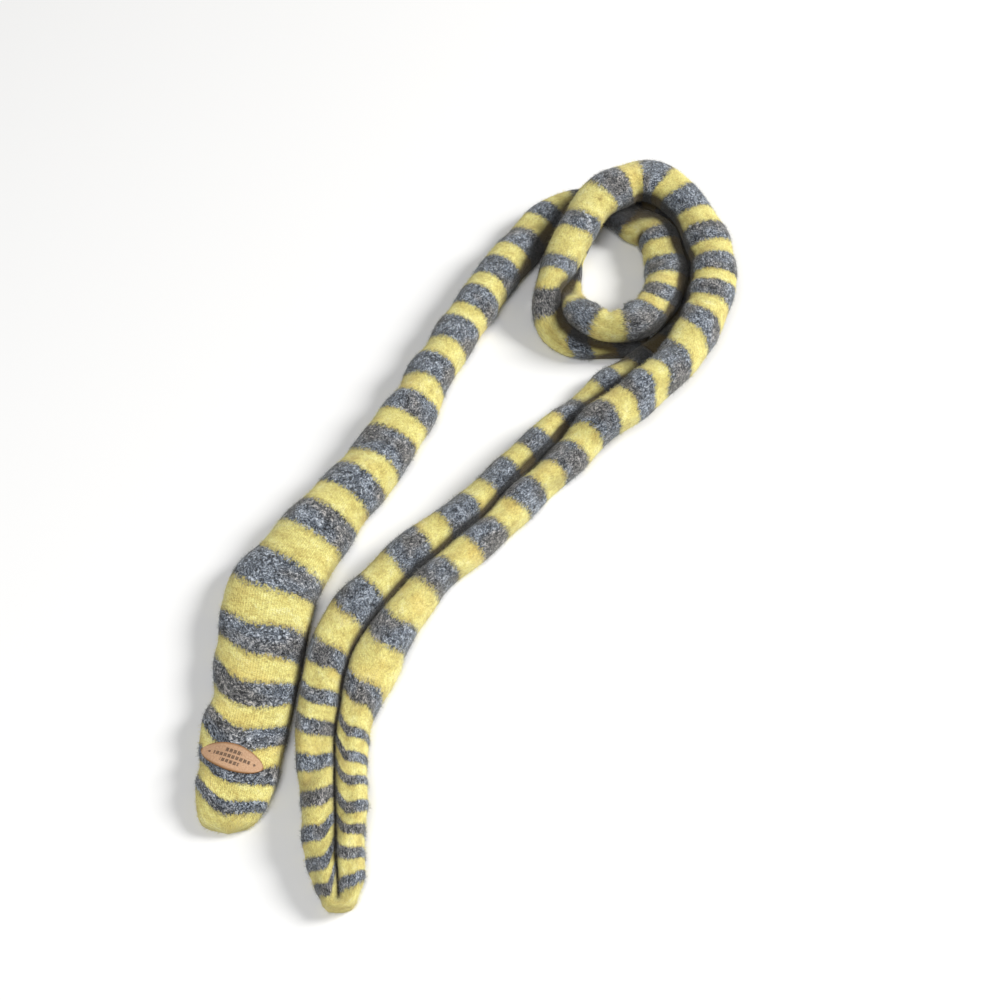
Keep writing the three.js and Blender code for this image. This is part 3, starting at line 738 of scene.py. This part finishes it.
def on_tube(x, y, above):
    """Points above the wide end's surface over plan points x, y."""
    near = ALONG < WIDE_END
    dx = x[:, None] - ROUTE[near, 0]
    dy = y[:, None] - ROUTE[near, 1]
    across = dx * ROUTE[near, 5] + dy * ROUTE[near, 6]
    ahead = np.abs(-dx * ROUTE[near, 6] + dy * ROUTE[near, 5])
    pick = ahead.argmin(axis=1)
    s = ALONG[near][pick]
    u = across[np.arange(len(x)), pick] / (ROUTE[near, 2][pick] / 2)
    points, outward, _ = surface(s, np.arccos(np.clip(u, -0.97, 0.97)))
    points[:, :2] = np.c_[x - CENTRE[0], y - CENTRE[1]] / 1000
    return points + outward * above / 1000


def tan_leather():
    """Worn tan leather with a darker rim and a plain dark mark."""
    f = Finish("tan_label")
    face = f.add("UVMap", uv_map="face").outputs[0]
    parts = f.add("SeparateXYZ", {0: face})
    along, across = parts.outputs[0], parts.outputs[1]      # both from -1 to 1
    grain = f.noise(face, 9, (2.2, 1, 1), 4.0, 0.7)
    pores = f.noise(face, 60, (2.2, 1, 1), 2.0, 0.6)
    tone = f.ramp(f.math("ADD", f.math("MULTIPLY", grain, 0.7), f.math("MULTIPLY", pores, 0.3)), [
        (0.34, srgb(166, 128, 98)), (0.5, srgb(190, 152, 120)), (0.68, srgb(204, 172, 142))])
    edge = f.step(f.add("Attribute", attribute_name="rim").outputs["Fac"], 0.80, 1.0)
    tone = f.blend(edge, tone, srgb(140, 100, 62))
    # a plain mark: three broken rules and two lozenges
    broken = f.math("LESS_THAN", f.math("FRACT", f.math("MULTIPLY", along, 8.0)), 0.76)
    marks = None
    for middle, reach in ((0.44, 0.26), (0.02, 0.58), (-0.40, 0.30)):
        off = f.math("ABSOLUTE", f.math("SUBTRACT", across, middle))
        bar = f.math("MULTIPLY", f.math("LESS_THAN", off, 0.14),
                     f.math("LESS_THAN", f.math("ABSOLUTE", along), reach))
        marks = bar if marks is None else f.math("MAXIMUM", marks, bar)
    marks = f.math("MULTIPLY", marks, broken)
    for middle in (-0.72, 0.72):
        off = f.math("ABSOLUTE", f.math("SUBTRACT", along, middle))
        far = f.math("ADD", f.math("MULTIPLY", off, 2.4), f.math("ABSOLUTE", across))
        marks = f.math("MAXIMUM", marks, f.math("LESS_THAN", far, 0.12))
    worn = f.math("MULTIPLY", marks, f.step(f.noise(face, 26, (2.2, 1, 1), 3.0, 0.7), 0.36, 0.5))
    tone = f.blend(f.math("MULTIPLY", worn, 0.88), tone, srgb(58, 46, 40))
    f.put(f.shader.inputs["Base Color"], tone)
    f.shader.inputs["Roughness"].default_value = 0.62
    f.shader.inputs["Specular IOR Level"].default_value = 0.35
    height = f.math("SUBTRACT", f.math("ADD", grain, f.math("MULTIPLY", pores, 0.5)),
                    f.math("MULTIPLY", marks, 0.8))
    bump = f.add("Bump", {"Height": height, "Strength": 0.5, "Distance": 0.0003})
    f.put(f.shader.inputs["Normal"], bump.outputs[0])
    return f.material


def sewn_label():
    """A pointed oval laid on the tube, thickened, with a softly rounded edge."""
    bm = bmesh.new()
    uv = bm.loops.layers.uv.new("face")
    rim = bm.verts.layers.float.new("rim")
    bmesh.ops.create_grid(bm, x_segments=44, y_segments=16, size=1.0)
    flat = np.array([v.co[:2] for v in bm.verts])
    along = -np.cos(np.pi * (flat[:, 0] / np.abs(flat[:, 0]).max() + 1) / 2)
    across = flat[:, 1] / np.abs(flat[:, 1]).max()
    belly = np.maximum(LABEL["blunt"], (1 - along ** 2) ** LABEL["bow"])
    turn = math.radians(LABEL["turn"])
    p = along * LABEL["length"] / 2
    q = across * belly * LABEL["width"] / 2
    x = LABEL["x"] + p * math.cos(turn) - q * math.sin(turn)
    y = LABEL["y"] + p * math.sin(turn) + q * math.cos(turn)
    points = on_tube(x, y, LABEL["off"])
    for i, vert in enumerate(bm.verts):
        vert.co = points[i]
        vert[rim] = max(abs(across[i]), abs(along[i]) ** 3)
    for face in bm.faces:
        for loop in face.loops:
            i = loop.vert.index
            loop[uv].uv = (along[i], across[i] * belly[i])
    bmesh.ops.recalc_face_normals(bm, faces=bm.faces)
    if sum(f.normal.z for f in bm.faces) < 0:
        bmesh.ops.reverse_faces(bm, faces=bm.faces)
    piece = in_scene("sewn_label", as_mesh(bm, "sewn_label"), tan_leather())
    thick = piece.modifiers.new("thickness", "SOLIDIFY")
    thick.thickness, thick.offset = LABEL["thick"] / 1000, 1.0
    soft = piece.modifiers.new("edge", "BEVEL")
    soft.width, soft.segments, soft.limit_method = LABEL["soft"] / 1000, 2, "ANGLE"
    return piece


label = sewn_label()
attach(label, "root")
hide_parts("label")

# The floor and the light, in metres.
FLOOR = {"size": 4.0, "below": 0.0002, "tone": 0.86}
WORLD_LIGHT = 0.18
scene.view_settings.view_transform = "Standard"


def pale_floor():
    """A plain matt floor, a hair below what lies on it."""
    bm = bmesh.new()
    bmesh.ops.create_grid(bm, x_segments=1, y_segments=1, size=FLOOR["size"])
    f = Finish("floor_white")
    f.shader.inputs["Base Color"].default_value = (*[FLOOR["tone"]] * 3, 1)
    f.shader.inputs["Roughness"].default_value = 1.0
    f.shader.inputs["Specular IOR Level"].default_value = 0.0
    floor = in_scene("floor", as_mesh(bm, "floor"), f.material)
    floor.location.z = -FLOOR["below"]


pale_floor()

world = bpy.data.worlds.new("studio")
scene.world = world
world.use_nodes = True
sky = world.node_tree.nodes["Background"]
sky.inputs[0].default_value = (1.0, 1.0, 1.0, 1)
sky.inputs[1].default_value = WORLD_LIGHT


def soft_lamp(name, place, size, watts, tint):
    """A round soft lamp that faces the middle of the scarf."""
    data = bpy.data.lights.new(name, "AREA")
    data.shape, data.size, data.energy, data.color = "DISK", size, watts, tint
    lamp = bpy.data.objects.new(name, data)
    scene.collection.objects.link(lamp)
    lamp.location = place
    lamp.rotation_euler = (-Vector(place)).to_track_quat("-Z", "Y").to_euler()


soft_lamp("window", (3.6, 1.0, 2.4), 1.7, 244, (1.0, 0.99, 0.97))
soft_lamp("fill", (-0.4, -1.2, 2.2), 1.4, 33, (0.99, 0.995, 1.0))
